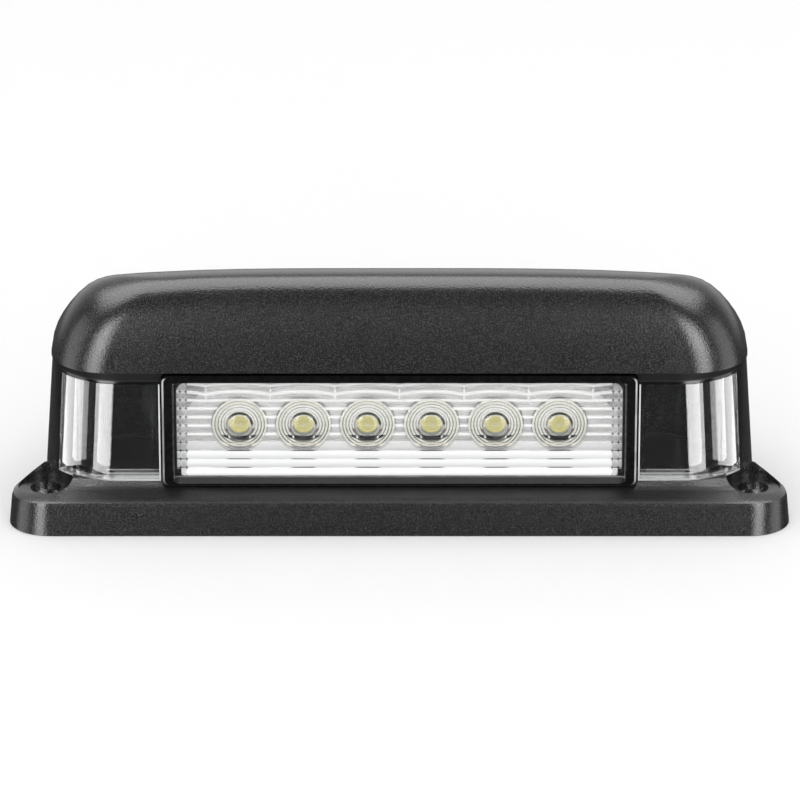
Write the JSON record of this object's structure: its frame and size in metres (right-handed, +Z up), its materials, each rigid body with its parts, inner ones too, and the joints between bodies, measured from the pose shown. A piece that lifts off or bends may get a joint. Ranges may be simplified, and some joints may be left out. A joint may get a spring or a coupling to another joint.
{
  "type": "number plate lamp",
  "caption": "Black moulded number plate lamp with a crowned hood, a fluted clear window over a diode row, clear corner lenses and two screw ears.",
  "frame": {"origin": "middle of the rectangle that bounds the base, on the mounting face", "axes": "+X along the lamp to the right of someone who faces the window, -Y out of the window, +Z up from the mounting face to the hood"},
  "size_m": [0.15, 0.046, 0.0488],
  "materials": {
    "housing_plastic": "fine moulded grain, black",
    "bezel_plastic": "smooth gloss black",
    "case_plastic": "smooth black moulding",
    "cover_plastic": "fine moulded grain, black",
    "clear_lens": "clear moulded plastic, polished",
    "clear_optic": "clear moulded plastic, polished",
    "white_reflector": "smooth white, reflecting",
    "board": "white solder mask",
    "led_package": "white package with a yellow phosphor face",
    "component_black": "moulded electronic component, black",
    "component_can": "drawn can on a black foot",
    "pin_brass": "turned brass pin",
    "seal_rubber": "smooth black rubber",
    "screw_steel": "zinc-plated screw with a cross slot"
  },
  "bodies": {
    "root": {"housing": "housing_plastic", "side_lens_left": "clear_lens", "side_lens_right": "clear_lens", "bezel": "bezel_plastic", "window_lens": "clear_lens", "window_seal": "seal_rubber", "module_case": "case_plastic", "reflector": "white_reflector", "circuit_board": "board", "led_1": "led_package", "led_2": "led_package", "led_3": "led_package", "led_4": "led_package", "led_5": "led_package", "led_6": "led_package", "optic_1": "clear_optic", "optic_2": "clear_optic", "optic_3": "clear_optic", "optic_4": "clear_optic", "optic_5": "clear_optic", "optic_6": "clear_optic", "regulator": "component_black", "capacitor": "component_can", "diodes": "component_black", "resistors": "component_black", "supply_pins": "pin_brass", "wire_seal": "seal_rubber", "base_cover": "cover_plastic", "cover_seal": "seal_rubber", "cover_screws": "screw_steel", "cable_grommet": "seal_rubber"}
  },
  "joints": []
}
